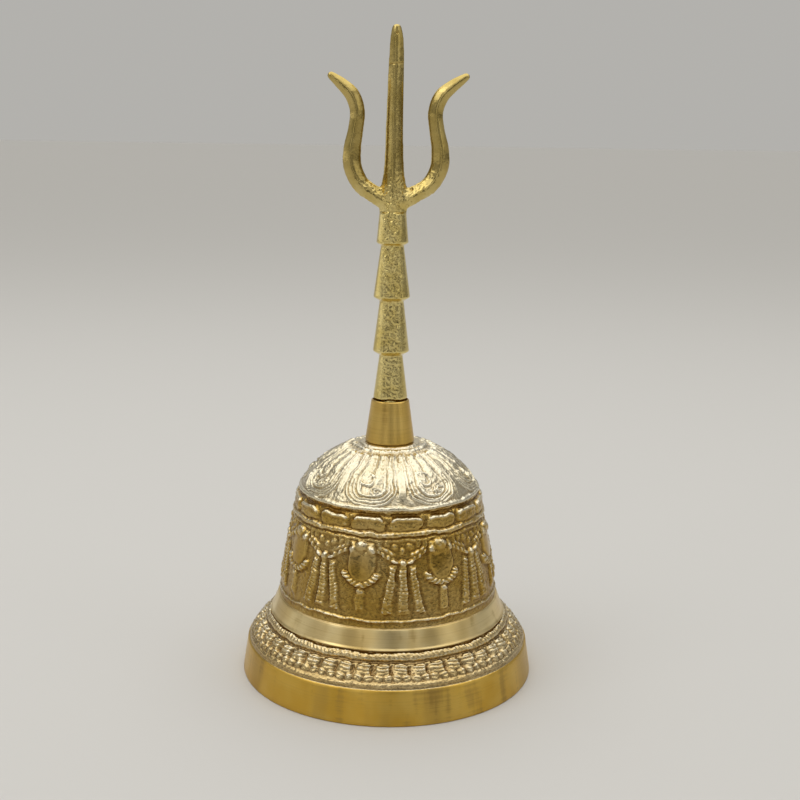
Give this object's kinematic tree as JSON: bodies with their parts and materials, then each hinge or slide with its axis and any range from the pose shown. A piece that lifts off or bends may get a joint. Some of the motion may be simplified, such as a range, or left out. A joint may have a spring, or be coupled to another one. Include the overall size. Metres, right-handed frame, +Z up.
{
  "type": "hand bell",
  "caption": "Brass hand bell with a relief-cast shell, beaded flange, trident handle and a free-hanging clapper.",
  "frame": {"origin": "centre of the mouth's circle, on the plane that the rim rests on", "axes": "+Z up along the bell's axis to the middle tine's tip; the trident lies in the XZ plane and faces -Y"},
  "size_m": [0.098, 0.098, 0.21],
  "materials": {
    "cast_brass": "rough sand-cast relief with polished turned bands",
    "turned_brass": "turned and polished",
    "handle_brass": "grainy casting with filed sides",
    "plated_steel": "zinc-plated",
    "steel_wire": "drawn wire"
  },
  "bodies": {
    "bell": {"bell_shell": "cast_brass", "ferrule": "turned_brass", "trident_handle": "handle_brass", "eye_bolt": "plated_steel", "crown_washer": "plated_steel", "lock_nut": "turned_brass"},
    "ring": {"hanger_ring": "steel_wire"},
    "clapper": {"clapper_rod": "steel_wire", "clapper_ball": "turned_brass"}
  },
  "joints": [
    {"name": "ring_swing", "type": "hinge", "parent": "bell", "child": "ring", "pos_m": [0, 0, 0.0602], "axis": [1, 0, 0], "range_deg": [-34, 34]},
    {"name": "clapper_swing", "type": "hinge", "parent": "ring", "child": "clapper", "pos_m": [0, 0, 0.0543], "axis": [0, 1, 0], "range_deg": [-18, 18]}
  ]
}
